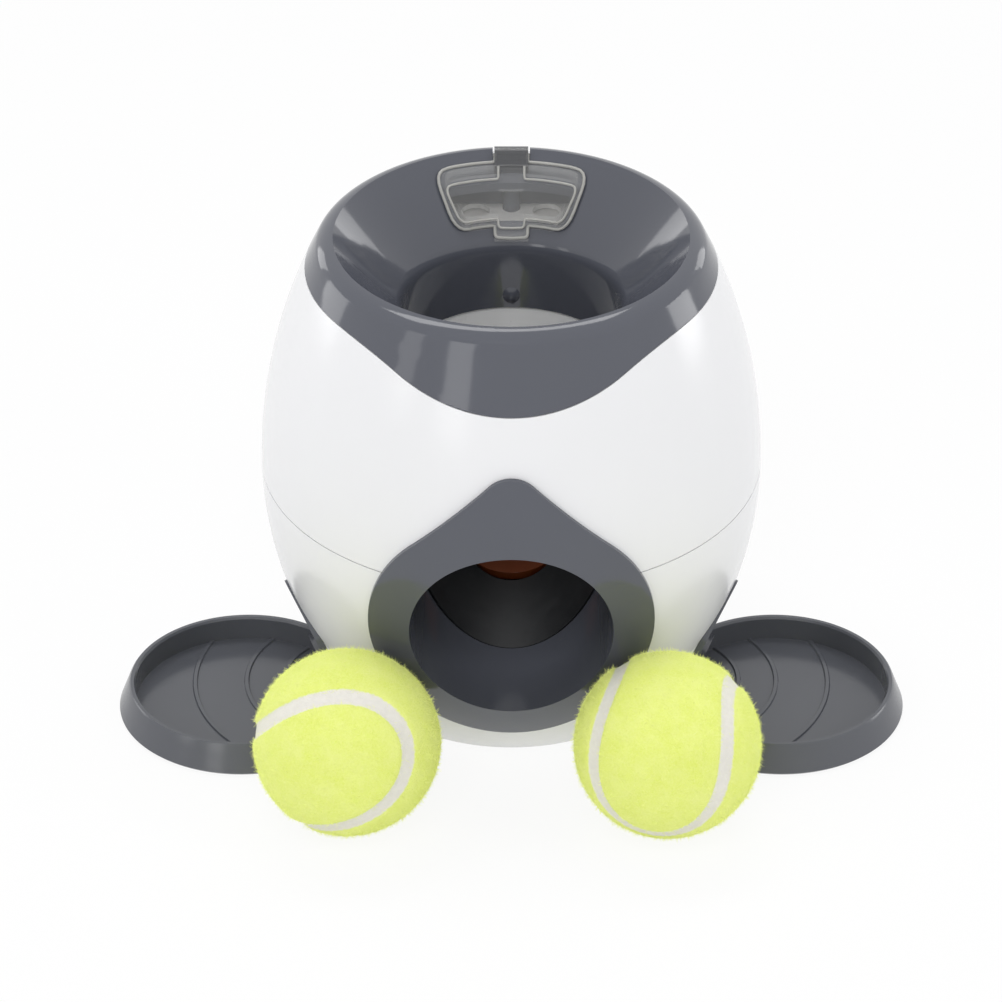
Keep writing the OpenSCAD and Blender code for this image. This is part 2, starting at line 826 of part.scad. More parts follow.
// Orange treadle: round disc in the ramp floor on a bar to the axle
module treadle() {
  top = exit_z - exit_r + (disc_y + well_or) * tan(ramp_fall) + disc_up;
  color([0.85, 0.36, 0.1]) difference() {
    union() {
      translate([0, disc_y, top]) rotate([ramp_fall, 0, 0]) translate([0, 0, -disc_t])
        cylinder(h = disc_t, r = disc_r);
      translate([0, disc_y, lever_z - bar_h / 2]) cylinder(h = top - disc_t / 2 - lever_z + bar_h / 2, r = 6);
      translate([-bar_w, disc_y, lever_z - bar_h / 2]) cube([2 * bar_w, lever_y - disc_y, bar_h]);
      translate([-bar_w, lever_y, lever_z]) rotate([0, 90, 0]) cylinder(h = 2 * bar_w, r = hub_r);
    }
    translate([-30, lever_y, lever_z]) rotate([0, 90, 0]) cylinder(h = 60, r = axle_r + run);
  }
}

// Upright of the lever with the gate that closes the drop holes
module gate_arm() {
  color([0.62, 0.63, 0.65]) {
    difference() {
      union() {
        translate([-bar_w, lever_y - 2.5, lever_z + 3]) cube([2 * bar_w, 5, gate_r - gate_t / 2 - 3]);
        translate([-bar_w, lever_y - 5, lever_z + 3]) cube([2 * bar_w, 10, 8]);
        intersection() {
          difference() {
            translate([-gate_w, lever_y, lever_z]) rotate([0, 90, 0])
              cylinder(h = 2 * gate_w, r = gate_r, $fn = 400);
            translate([-gate_w - 1, lever_y, lever_z]) rotate([0, 90, 0])
              cylinder(h = 2 * gate_w + 2, r = gate_r - gate_t, $fn = 400);
          }
          translate([-gate_w, drop_y - gate_l / 2, lever_z + 60]) cube([2 * gate_w, gate_l, 100]);
        }
      }
      translate([-30, lever_y, lever_z]) rotate([0, 90, 0]) cylinder(h = 60, r = hub_r + fit);
      translate([-30, lever_y - 20, lever_z - 10]) cube([60, 20 - hub_r + 0.1, 10 + bar_h / 2 + 0.1]);
    }
  }
}

// Torsion spring round the axle beside the lever hub
module return_spring() {
  pitch = 1.8 * wire_r;
  coil_r = axle_r + 0.5 + wire_r;
  color([0.7, 0.7, 0.72]) translate([bar_w + 0.8 + wire_r, lever_y, lever_z]) {
    rotate([0, 90, 0]) rotate_extrude() for (i = [0:3]) translate([coil_r, i * pitch])
      circle(wire_r, $fn = 24);
    translate([0, 0, -coil_r]) rotate([90, 0, 0]) cylinder(h = 12, r = wire_r, $fn = 24);
    translate([3 * pitch, -coil_r, 0]) mirror([0, 0, 1]) cylinder(h = 11, r = wire_r, $fn = 24);
  }
}

// Flat base plate the machine stands on
module base_plate() {
  y = (well_or + 1.8 + base_r - 2.6) / 2 - 0.6;
  color([0.85, 0.85, 0.86]) difference() {
    union() {
      cylinder(h = base_t, r = base_r);
    }
    for (a = [0, 90, 180, 270]) rotate([0, 0, a]) translate([base_r - pad_in, 0, -1])
      cylinder(h = 1 + pad_t, r = pad_r + 0.1);
    screw_places() union() {
      translate([0, 0, -1]) cylinder(h = 20, r = screw_r + 0.1);
      translate([0, 0, -1]) cylinder(h = 1 + head_t, r = head_r + 0.2);
    }
    for (s = [-1, 1]) translate([s * 5, y, -1]) cylinder(h = 20, r = screw_r + fit);
  }
}

module foot_pads() {
  color([0.1, 0.1, 0.1]) for (a = [0, 90, 180, 270]) rotate([0, 0, a]) translate([base_r - pad_in, 0, 0])
    cylinder(h = pad_t, r = pad_r);
}

module base_screws() {
  color([0.7, 0.7, 0.72]) screw_places() screw(base_screw_l);
}

// Treat tray: round dish cut along the outlet plate, with ribs and a hook for the outlet
module tray_behind(gap) {
  on_plate(-100, gap) translate([-100, -100]) square([200, 300]);
}

module tray() {
  hook_z = (side_mid - sqrt(outlet_r * outlet_r - 25)) * cos(side_tilt) + side_t * sin(side_tilt) + 0.4;
  in_r = tray_rim - tray_t;
  color([0.4, 0.4, 0.41]) difference() {
    union() {
      difference() {
        translate([tray_c, 0, 0]) rotate_extrude()
          polygon([[0, 0], [tray_foot - 1, 0], [tray_foot, 1], [tray_rim, tray_h - 0.8],
            [tray_rim - 0.6, tray_h], [in_r + 0.6, tray_h], [in_r, tray_h - 0.8], [in_r, tray_floor],
            [0, tray_floor]]);
        tray_behind(seat);
      }
      intersection() {
        translate([tray_c, 0, 0]) cylinder(h = tray_h - 3, r = tray_rim - 1);
        on_plate(seat, seat + 2.2) translate([-100, -20]) square([200, 100]);
        translate([0, -100, 0]) cube([200, 200, tray_h - 3]);
      }
      translate([0, -5, 0]) intersection() {
        translate([side_foot, 0, 1]) cube([12, 10, hook_z + 0.7]);
        translate([0, 5, 0]) on_plate(seat, seat + 2.2) translate([-5, -20]) square([10, 100]);
      }
      intersection() {
        translate([side_foot, -5, hook_z]) cube([20, 10, 1.7]);
        on_plate(-3.2, seat + 2.2) translate([-5, -20]) square([10, 100]);
      }
      intersection() {
        translate([tray_c, 0, 0]) cylinder(h = 9, r = in_r + 0.5);
        union() for (r = [rib_1, rib_2, rib_3]) translate([rib_c, 0, 0]) rotate_extrude()
          polygon([[r - rib_w / 2, tray_floor - 0.5], [r + rib_w / 2, tray_floor - 0.5],
            [r + rib_w / 4, tray_floor + rib_h], [r - rib_w / 4, tray_floor + rib_h]]);
        on_plate(seat, 120) translate([-100, -20]) square([200, 200]);
      }
    }
    translate([0, -100, -20]) cube([200, 200, 20]);
  }
}

module right_tray() {
  at_right() tray();
}

module left_tray() {
  at_left() tray();
}

// Tennis balls: hollow rubber core under a felt cover
module ball_core() {
  color([0.2, 0.2, 0.2]) difference() {
    sphere(ball_r - felt_t - 0.05);
    sphere(ball_r - felt_t - core_t);
  }
}

module ball_felt() {
  color([0.85, 0.95, 0.45]) difference() {
    sphere(ball_r);
    sphere(ball_r - felt_t);
  }
}

module at_left_ball() {
  translate([-ball_d * sin(left_az), -ball_d * cos(left_az), ball_r]) children();
}

module at_right_ball() {
  translate([ball_d * sin(right_az), -ball_d * cos(right_az), ball_r]) children();
}

module left_ball_core() {
  at_left_ball() ball_core();
}

module left_ball_felt() {
  at_left_ball() ball_felt();
}

module right_ball_core() {
  at_right_ball() ball_core();
}

module right_ball_felt() {
  at_right_ball() ball_felt();
}

lower_shell();
upper_shell();
collar_funnel();
hopper_floor();
hopper_screws();
treat_lid();
lid_pin();
front_frame();
left_outlet_frame();
right_outlet_frame();
ball_chamber();
ball_ramp();
treat_slide();
axle_cradle();
cradle_screws();
lever_axle();
treadle();
gate_arm();
return_spring();
base_plate();
foot_pads();
base_screws();
left_tray();
right_tray();
left_ball_core();
left_ball_felt();
right_ball_core();
right_ball_felt();
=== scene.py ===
import math

import bmesh
import bpy
import numpy as np
from mathutils import Euler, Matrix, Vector


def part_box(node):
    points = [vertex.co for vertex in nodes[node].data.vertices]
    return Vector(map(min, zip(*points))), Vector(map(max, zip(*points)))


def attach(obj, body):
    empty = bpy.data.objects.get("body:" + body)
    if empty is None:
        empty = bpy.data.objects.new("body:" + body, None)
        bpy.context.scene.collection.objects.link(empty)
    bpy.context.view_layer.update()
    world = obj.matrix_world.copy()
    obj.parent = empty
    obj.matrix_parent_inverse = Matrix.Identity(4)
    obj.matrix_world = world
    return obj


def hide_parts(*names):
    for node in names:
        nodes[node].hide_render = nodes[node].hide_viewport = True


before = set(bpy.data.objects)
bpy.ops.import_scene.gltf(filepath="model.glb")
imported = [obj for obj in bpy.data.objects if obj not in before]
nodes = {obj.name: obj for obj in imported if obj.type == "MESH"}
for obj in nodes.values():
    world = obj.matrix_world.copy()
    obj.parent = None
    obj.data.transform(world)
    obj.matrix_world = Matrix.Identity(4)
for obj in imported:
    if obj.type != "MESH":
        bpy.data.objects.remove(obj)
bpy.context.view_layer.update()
scene = bpy.context.scene
scene.view_settings.view_transform = "Standard"


# Camera, at the photograph's viewing angle
CAMERA_PLACE = (0.0, -1.6853, 1.1437)
CAMERA_TILT_DEG = 57.42
CAMERA_LENS_MM = 201.95
CAMERA_SHIFT = (-0.0103, 0.0016)


def make_camera():
    data = bpy.data.cameras.new("photo_camera")
    data.sensor_width = 36.0
    data.lens = CAMERA_LENS_MM
    data.shift_x, data.shift_y = CAMERA_SHIFT
    data.clip_end = 50.0
    cam = bpy.data.objects.new("photo_camera", data)
    cam.location = CAMERA_PLACE
    cam.rotation_euler = (math.radians(CAMERA_TILT_DEG), 0.0, 0.0)
    scene.collection.objects.link(cam)
    scene.camera = cam


# Soft boxes: place, point aimed at, width, height, watts, seen in glossy faces
SOFT_BOXES = {
    "left_soft_box": ((-1.35, -0.75, 1.0), (0.0, 0.0, 0.09), 0.7, 0.9, 2.5, False),
    "right_soft_box": ((1.35, -0.75, 0.8), (0.0, 0.0, 0.05), 0.5, 0.8, 4.6, False),
    "top_soft_box": ((-0.15, -1.25, 1.5), (0.0, 0.0, 0.1), 0.9, 0.6, 9.8, False),
    "overhead_strip": ((-0.1, 0.5, 1.6), (0.0, 0.0, 0.2), 1.4, 0.45, 9.0, True),
    "front_panel": ((-0.80, -1.58, 0.60), (0.0, 0.0, 0.2), 0.42, 0.95, 2.5, True),
    "side_panel": ((-1.42, -1.02, 0.62), (0.0, 0.0, 0.2), 0.32, 0.95, 1.2, True),
    "left_low_panel": ((-1.5, 0.55, 0.3), (0.0, 0.0, 0.15), 0.6, 0.55, 2.2, True),
    "right_low_panel": ((1.5, 0.35, 0.3), (0.0, 0.0, 0.15), 0.5, 0.55, 2.8, True),
    "left_back_panel": ((-1.15, 1.25, 0.45), (0.0, 0.0, 0.2), 0.4, 0.6, 1.5, True),
    "right_back_panel": ((1.15, 1.25, 0.45), (0.0, 0.0, 0.2), 0.4, 0.6, 1.5, True),
}


def make_lights():
    for name, (place, aim, width, height, watts, mirrored) in SOFT_BOXES.items():
        data = bpy.data.lights.new(name, "AREA")
        data.shape = "RECTANGLE"
        data.size = width
        data.size_y = height
        data.energy = watts
        lamp = bpy.data.objects.new(name, data)
        lamp.location = place
        lamp.rotation_euler = (Vector(aim) - Vector(place)).to_track_quat("-Z", "Y").to_euler()
        lamp.visible_glossy = mirrored
        scene.collection.objects.link(lamp)


# White studio: strength of the fill light, half size and height of the paper on the floor
FILL_STRENGTH = 0.42
FLOOR_HALF = 6.0
FLOOR_Z = -0.0003


def seen_directly(tree):
    """1 where the ray comes from the camera, a mirror face or through glass."""
    path = tree.nodes.new("ShaderNodeLightPath")
    first = tree.nodes.new("ShaderNodeMath")
    first.operation = "MAXIMUM"
    second = tree.nodes.new("ShaderNodeMath")
    second.operation = "MAXIMUM"
    tree.links.new(path.outputs["Is Camera Ray"], first.inputs[0])
    tree.links.new(path.outputs["Is Glossy Ray"], first.inputs[1])
    tree.links.new(first.outputs[0], second.inputs[0])
    tree.links.new(path.outputs["Is Transmission Ray"], second.inputs[1])
    return second.outputs[0]


def make_world():
    world = bpy.data.worlds.new("white_studio")
    world.use_nodes = True
    tree = world.node_tree
    tree.nodes.clear()
    out = tree.nodes.new("ShaderNodeOutputWorld")
    mix = tree.nodes.new("ShaderNodeMixShader")
    light = tree.nodes.new("ShaderNodeBackground")
    light.inputs["Color"].default_value = (0.97, 0.98, 1.0, 1.0)
    light.inputs["Strength"].default_value = FILL_STRENGTH
    paper = tree.nodes.new("ShaderNodeBackground")
    paper.inputs["Color"].default_value = (1.0, 1.0, 1.0, 1.0)
    paper.inputs["Strength"].default_value = 1.0
    tree.links.new(seen_directly(tree), mix.inputs[0])
    tree.links.new(light.outputs[0], mix.inputs[1])
    tree.links.new(paper.outputs[0], mix.inputs[2])
    tree.links.new(mix.outputs[0], out.inputs["Surface"])
    scene.world = world


# Materials: noise scales, per metre
FLOW_SCALE = 22.0
GLOSS_SCALE = 140.0
PEEL_SCALE = 260.0
GRAIN_SCALE = 2600.0


def start_material(name):
    mat = bpy.data.materials.new(name)
    mat.use_nodes = True
    tree = mat.node_tree
    shader = tree.nodes["Principled BSDF"]
    place = tree.nodes.new("ShaderNodeTexCoord")
    return mat, tree, shader, place.outputs["Object"]


def noise(tree, place, scale, detail=2.0, rough=0.5):
    n = tree.nodes.new("ShaderNodeTexNoise")
    n.inputs["Scale"].default_value = scale
    n.inputs["Detail"].default_value = detail
    n.inputs["Roughness"].default_value = rough
    tree.links.new(place, n.inputs["Vector"])
    return n.outputs["Fac"]


def spread(tree, value, low, high, new_low, new_high):
    m = tree.nodes.new("ShaderNodeMapRange")
    m.inputs["From Min"].default_value = low
    m.inputs["From Max"].default_value = high
    m.inputs["To Min"].default_value = new_low
    m.inputs["To Max"].default_value = new_high
    tree.links.new(value, m.inputs["Value"])
    return m.outputs["Result"]


def make_floor():
    mesh = bpy.data.meshes.new("studio_floor")
    corners = [(x * FLOOR_HALF, y * FLOOR_HALF, FLOOR_Z) for x, y in ((-1, -1), (1, -1), (1, 1), (-1, 1))]
    mesh.from_pydata(corners, [], [(0, 1, 2, 3)])
    floor = bpy.data.objects.new("studio_floor", mesh)
    scene.collection.objects.link(floor)
    mat = bpy.data.materials.new("studio_paper")
    mat.use_nodes = True
    tree = mat.node_tree
    tree.nodes.clear()
    out = tree.nodes.new("ShaderNodeOutputMaterial")
    mix = tree.nodes.new("ShaderNodeMixShader")
    paper = tree.nodes.new("ShaderNodeBsdfDiffuse")
    paper.inputs["Color"].default_value = (0.9, 0.9, 0.9, 1.0)
    glow = tree.nodes.new("ShaderNodeEmission")
    glow.inputs["Color"].default_value = (1.0, 1.0, 1.0, 1.0)
    tree.links.new(spread(tree, seen_directly(tree), 0.0, 1.0, 0.4, 0.9), mix.inputs[0])
    tree.links.new(paper.outputs[0], mix.inputs[1])
    tree.links.new(glow.outputs[0], mix.inputs[2])
    tree.links.new(mix.outputs[0], out.inputs["Surface"])
    mesh.materials.append(mat)


def mix_colours(tree, fac, a, b):
    m = tree.nodes.new("ShaderNodeMix")
    m.data_type = "RGBA"
    tree.links.new(fac, m.inputs[0])
    for socket, c in ((m.inputs[6], a), (m.inputs[7], b)):
        if isinstance(c, tuple):
            socket.default_value = (*c, 1.0)
        else:
            tree.links.new(c, socket)
    return m.outputs[2]


def bump(tree, height, strength, distance, under=None):
    b = tree.nodes.new("ShaderNodeBump")
    b.inputs["Strength"].default_value = strength
    b.inputs["Distance"].default_value = distance
    tree.links.new(height, b.inputs["Height"])
    if under is not None:
        tree.links.new(under, b.inputs["Normal"])
    return b.outputs["Normal"]


def shade(colour, k):
    return tuple(min(1.0, c * k) for c in colour)


def moulded_plastic(name, colour, rough, peel=0.00002, grain=0.0, vary=0.03):
    """Injection-moulded plastic: soft orange peel, faint flow marks in the colour, uneven gloss."""
    mat, tree, shader, place = start_material(name)
    flow = noise(tree, place, FLOW_SCALE, 3.0)
    tree.links.new(mix_colours(tree, flow, shade(colour, 1 - vary), shade(colour, 1 + vary)),
                   shader.inputs["Base Color"])
    gloss = noise(tree, place, GLOSS_SCALE, 4.0, 0.6)
    tree.links.new(spread(tree, gloss, 0.3, 0.7, rough * 0.85, rough * 1.2), shader.inputs["Roughness"])
    normal = bump(tree, noise(tree, place, PEEL_SCALE, 1.0), 1.0, peel)
    if grain > 0.0:
        normal = bump(tree, noise(tree, place, GRAIN_SCALE, 2.0), 1.0, grain, normal)
    tree.links.new(normal, shader.inputs["Normal"])
    shader.inputs["IOR"].default_value = 1.5
    return mat


def tube_with_painted_shade_below(name, upper, lower, split_m, rough):
    """White tube whose lower part is painted dark grey: painted shade deep inside the chamber."""
    mat, tree, shader, place = start_material(name)
    parts = tree.nodes.new("ShaderNodeSeparateXYZ")
    tree.links.new(place, parts.inputs[0])
    side = spread(tree, parts.outputs["Z"], split_m - 0.0004, split_m + 0.0004, 0.0, 1.0)
    flow = noise(tree, place, FLOW_SCALE, 3.0)
    white_part = mix_colours(tree, flow, shade(upper, 0.98), shade(upper, 1.02))
    # Dark lower colour: painted shade in the chamber below the split height.
    painted_shade_part = mix_colours(tree, flow, shade(lower, 0.95), shade(lower, 1.05))
    tree.links.new(mix_colours(tree, side, painted_shade_part, white_part), shader.inputs["Base Color"])
    gloss = noise(tree, place, GLOSS_SCALE, 4.0)
    tree.links.new(spread(tree, gloss, 0.3, 0.7, rough * 0.85, rough * 1.2), shader.inputs["Roughness"])
    tree.links.new(bump(tree, noise(tree, place, PEEL_SCALE, 1.0), 1.0, 0.000004), shader.inputs["Normal"])
    return mat


def clear_plastic(name, colour, cover):
    """Thin clear plastic: a faint film over what lies behind it."""
    mat, tree, shader, place = start_material(name)
    haze_and_sheen = noise(tree, place, 60.0, 3.0)
    tree.links.new(mix_colours(tree, haze_and_sheen, shade(colour, 0.94), shade(colour, 1.04)),
                   shader.inputs["Base Color"])
    tree.links.new(spread(tree, noise(tree, place, 300.0, 3.0), 0.3, 0.7, 0.03, 0.10),
                   shader.inputs["Roughness"])
    tree.links.new(bump(tree, noise(tree, place, 180.0, 1.0), 1.0, 0.00002), shader.inputs["Normal"])
    shader.inputs["Alpha"].default_value = cover
    return mat


def bright_steel(name):
    mat, tree, shader, place = start_material(name)
    flow = noise(tree, place, 400.0, 3.0)
    tree.links.new(mix_colours(tree, flow, (0.55, 0.55, 0.56), (0.68, 0.68, 0.69)),
                   shader.inputs["Base Color"])
    tree.links.new(spread(tree, noise(tree, place, 1500.0, 3.0), 0.3, 0.7, 0.22, 0.42),
                   shader.inputs["Roughness"])
    tree.links.new(bump(tree, noise(tree, place, 3000.0, 2.0), 1.0, 0.000008), shader.inputs["Normal"])
    shader.inputs["Metallic"].default_value = 1.0
    return mat


def soft_rubber(name, colour):
    mat, tree, shader, place = start_material(name)
    flow = noise(tree, place, 300.0, 4.0)
    tree.links.new(mix_colours(tree, flow, shade(colour, 0.8), shade(colour, 1.3)),
                   shader.inputs["Base Color"])
    tree.links.new(spread(tree, flow, 0.3, 0.7, 0.6, 0.85), shader.inputs["Roughness"])
    tree.links.new(bump(tree, noise(tree, place, 1800.0, 3.0), 1.0, 0.00004), shader.inputs["Normal"])
    return mat


# Tennis felt and the rubber of its seam
FELT = (0.91, 0.98, 0.30)
FELT_PALE = (0.96, 1.0, 0.42)
FELT_DEEP = (0.82, 0.91, 0.18)
STRIPE = (0.88, 0.85, 0.80)


def ball_felt(name):
    """Napped felt with the off-white rubber seam; the seam's distance comes with the mesh."""
    mat, tree, shader, place = start_material(name)
    nap = noise(tree, place, 1500.0, 4.0, 0.7)
    patch = noise(tree, place, 120.0, 4.0, 0.6)
    deep = mix_colours(tree, spread(tree, nap, 0.3, 0.7, 0.0, 1.0), FELT_DEEP, FELT)
    felt = mix_colours(tree, spread(tree, patch, 0.35, 0.75, 0.0, 0.5), deep, FELT_PALE)
    speckle = noise(tree, place, 500.0, 4.0)
    rubber = mix_colours(tree, speckle, shade(STRIPE, 0.92), shade(STRIPE, 1.06))
    seam = tree.nodes.new("ShaderNodeAttribute")
    seam.attribute_name = "seam_mm"
    frayed = tree.nodes.new("ShaderNodeMath")
    frayed.operation = "MULTIPLY_ADD"
    frayed.inputs[1].default_value = 1.4
    tree.links.new(noise(tree, place, 900.0, 3.0, 0.7), frayed.inputs[0])
    tree.links.new(seam.outputs["Fac"], frayed.inputs[2])
    cover = spread(tree, frayed.outputs[0], 3.35, 3.95, 0.0, 1.0)
    tree.links.new(mix_colours(tree, cover, rubber, felt), shader.inputs["Base Color"])
    tree.links.new(bump(tree, nap, 1.0, 0.0005), shader.inputs["Normal"])
    tree.links.new(spread(tree, nap, 0.2, 0.8, 0.85, 1.0), shader.inputs["Roughness"])
    shader.inputs["Specular IOR Level"].default_value = 0.15
    shader.inputs["Sheen Weight"].default_value = 0.35
    shader.inputs["Sheen Tint"].default_value = (0.9, 1.0, 0.5, 1.0)
    return mat


def felt_fuzz(name):
    mat, tree, shader, place = start_material(name)
    tint = noise(tree, place, 700.0, 3.0)
    tree.links.new(mix_colours(tree, tint, FELT, FELT_PALE), shader.inputs["Base Color"])
    tree.links.new(spread(tree, tint, 0.2, 0.8, 0.85, 1.0), shader.inputs["Roughness"])
    shader.inputs["Specular IOR Level"].default_value = 0.1
    return mat


# CAD nodes: joined faces, small rounded edges and smooth curves
WELD_M = 0.000004
ROUNDED_PAST_DEG = 35.0


def finish_node(name, mat, round_mm):
    obj = nodes[name]
    obj.data.materials.clear()
    obj.data.materials.append(mat)
    obj.data.polygons.foreach_set("use_smooth", [True] * len(obj.data.polygons))
    weld = obj.modifiers.new("joined_faces", "WELD")
    weld.merge_threshold = WELD_M
    if round_mm > 0.0:
        edge = obj.modifiers.new("rounded_edges", "BEVEL")
        edge.width = round_mm / 1000.0
        edge.segments = 2
        edge.limit_method = "ANGLE"
        edge.angle_limit = math.radians(ROUNDED_PAST_DEG)
        edge.use_clamp_overlap = True
        edge.harden_normals = False
    split = obj.modifiers.new("crisp_edges", "EDGE_SPLIT")
    split.split_angle = math.radians(50.0 if round_mm > 0.0 else 30.0)
    even = obj.modifiers.new("even_shading", "WEIGHTED_NORMAL")
    even.mode = "FACE_AREA_WITH_ANGLE"
    even.keep_sharp = True


# Treat lid on the bowl's cone, in metres. Its lines: radius and half width at the lower and at the
# upper corners, half width of the tabs, ends of the finger tab and of the hinge tab, corner rounding
THROAT_R, THROAT_Z = 0.038, 0.150
LIP_R, LIP_Z = 0.0617, 0.1763
RISE = math.atan2(LIP_Z - THROAT_Z, LIP_R - THROAT_R)
RIM_LINE = ((0.0423, 0.0194), (0.0577, 0.0274), 0.0058, 0.0391, 0.0595, 0.0050)
BORDER_LINE = ((0.0430, 0.0160), (0.0550, 0.0240), 0.0050, 0.0397, 0.0590, 0.0040)
PANEL_LINE = ((0.0427, 0.0178), (0.0523, 0.0236), 0.0046, 0.0403, 0.0552, 0.0028)
TAB_ROUND, NOTCH_ROUND = 0.0012, 0.0008
HINGE_FROM_R = 0.0559


def smoke_the_hinge(hinge_mat):
    mesh = nodes["treat_lid"].data
    mesh.materials.append(hinge_mat)
    for face in mesh.polygons:
        face.material_index = 1 if math.hypot(face.center.x, face.center.y) > HINGE_FROM_R else 0


def round_y(r, x):
    return math.sqrt(r * r - x * x)


def arc_points(r, x1, x2, count=10):
    xs = [x1 + (x2 - x1) * i / count for i in range(1, count)]
    return [(x, round_y(r, x), 0.0) for x in xs]


def lid_line(low, top, half, low_end, top_end, corner):
    """Right half of a line round the lid, from the finger tab to the hinge: x, y, corner radius."""
    low_r, low_w = low
    top_r, top_w = top
    points = [(0.0, low_end, 0.0), (half, low_end, TAB_ROUND)]
    points += [(half, round_y(low_r, half), NOTCH_ROUND)] + arc_points(low_r, half, low_w - corner)
    points += [(low_w, round_y(low_r, low_w), corner), (top_w, round_y(top_r, top_w), corner)]
    points += arc_points(top_r, top_w - corner, half)
    points += [(half, round_y(top_r, half), NOTCH_ROUND), (half, top_end, 0.0)]
    return points


def rounded(points):
    """Plan line with its corners turned into short arcs."""
    line = []
    for i, (x, y, radius) in enumerate(points):
        here = Vector((x, y))
        if radius == 0.0:
            line.append(here)
            continue
        before = Vector(points[i - 1][:2]) - here
        after = Vector(points[i + 1][:2]) - here
        cut = min(radius, before.length * 0.9, after.length * 0.9)
        start, end = here + before.normalized() * cut, here + after.normalized() * cut
        for t in (0.0, 0.2, 0.4, 0.6, 0.8, 1.0):
            line.append(start * (1 - t) ** 2 + here * 2 * t * (1 - t) + end * t * t)
    return line


def on_bowl(point, height):
    r = point.length
    return (point.x, point.y, THROAT_Z + (r - THROAT_R) * math.tan(RISE) + height / math.cos(RISE))


def whole_line(points):
    right = rounded(points)
    return [Vector((-p.x, p.y)) for p in reversed(right[1:])] + right


def add_to_lid(name, mesh, mat):
    mesh.name = name
    mesh.materials.clear()
    mesh.materials.append(mat)
    mesh.polygons.foreach_set("use_smooth", [True] * len(mesh.polygons))
    piece = bpy.data.objects.new(name, mesh)
    scene.collection.objects.link(piece)
    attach(piece, "lid")


def lid_bead(name, points, radius, height, mat):
    """Round bead along a line on the lid."""
    line = whole_line(points)
    curve = bpy.data.curves.new(name, "CURVE")
    curve.dimensions = "3D"
    curve.bevel_depth = radius
    curve.bevel_resolution = 3
    curve.use_fill_caps = True
    spline = curve.splines.new("POLY")
    spline.points.add(len(line) - 1)
    for slot, point in zip(spline.points, line):
        slot.co = (*on_bowl(point, height), 1.0)
    drawn = bpy.data.objects.new(name + "_line", curve)
    scene.collection.objects.link(drawn)
    mesh = bpy.data.meshes.new_from_object(drawn.evaluated_get(bpy.context.evaluated_depsgraph_get()))
    bpy.data.objects.remove(drawn)
    add_to_lid(name, mesh, mat)


def lid_flange(name, outer, inner, under, upper, mat):
    """Thin border of the lid between its rim bead and its raised part: a closed flat strip."""
    bm = bmesh.new()
    rings = []
    for far, near in zip(whole_line(outer), whole_line(inner)):
        corners = ((far, under), (far, upper), (near, upper), (near, under))
        rings.append([bm.verts.new(on_bowl(*corner)) for corner in corners])
    for ring, following in zip(rings, rings[1:]):
        for k in range(4):
            bm.faces.new((ring[k], ring[k - 1], following[k - 1], following[k]))
    bm.faces.new(rings[0])
    bm.faces.new(rings[-1])
    bmesh.ops.recalc_face_normals(bm, faces=bm.faces)
    mesh = bpy.data.meshes.new(name)
    bm.to_mesh(mesh)
    bm.free()
    add_to_lid(name, mesh, mat)


# Tennis balls, in metres apart from the values in mm
BALL_R_MM = 32.5
SEAM_R = 0.03155
FELT_RISE, SHOULDER_RISE, LUMP_RISE = 0.00062, 0.00012, 0.00008
SEAM_HALF_MM, SEAM_EDGE_MM = 2.3, 1.6
SHOULDER_AT_MM, SHOULDER_WIDE_MM = 4.6, 1.6
FUZZ_FROM_FLOOR_MM, FUZZ_FADE_MM = 0.8, 1.5
LUMP_WAVES = ((41.0, 13.0, 29.0), (-17.0, 37.0, 23.0), (19.0, -31.0, 43.0))
FIBRE_SIZES = {"Fibres per square metre": 7.0e6, "Length": 0.0008, "Width": 0.00008}
FIBRE_TILT = 1.15


def seam_points(b, turn):
    t = np.linspace(0.0, 2.0 * math.pi, 1200, endpoint=False)
    a = 1.0 - b
    pts = np.stack([a * np.cos(t) + b * np.cos(3 * t), a * np.sin(t) - b * np.sin(3 * t),
                    2.0 * math.sqrt(a * b) * np.sin(2 * t)], 1)
    pts /= np.linalg.norm(pts, axis=1)[:, None]
    m = np.array(Euler([math.radians(v) for v in turn], "XYZ").to_matrix())
    return pts @ m.T


